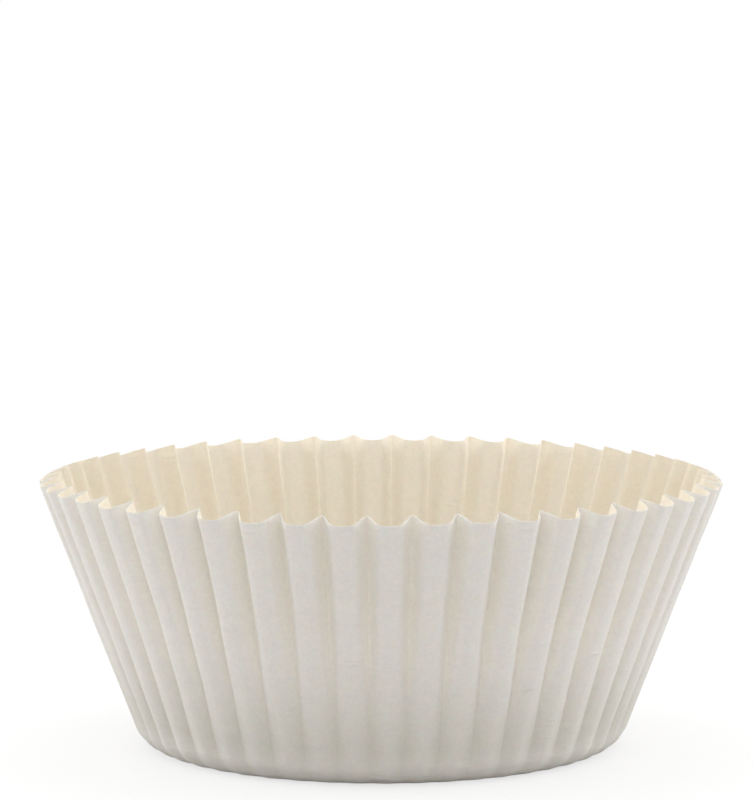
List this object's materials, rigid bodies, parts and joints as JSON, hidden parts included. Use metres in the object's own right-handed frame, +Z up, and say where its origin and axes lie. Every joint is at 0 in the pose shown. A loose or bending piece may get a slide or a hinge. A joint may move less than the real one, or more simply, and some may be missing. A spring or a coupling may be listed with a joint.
{
  "type": "cupcake liner",
  "caption": "Pleated paper baking cup with a level round base, a rounded edge and a leaning, evenly fluted wall with a scalloped rim; holds batter or a small cake.",
  "frame": {"origin": "centre of the underside of the base, where the cup stands", "axes": "+Z up along the cup's axis; -Y is the front that the picture shows"},
  "size_m": [0.0714, 0.0714, 0.0287],
  "materials": {
    "liner": "matt greaseproof"
  },
  "bodies": {
    "root": {"liner": "liner"}
  },
  "joints": []
}
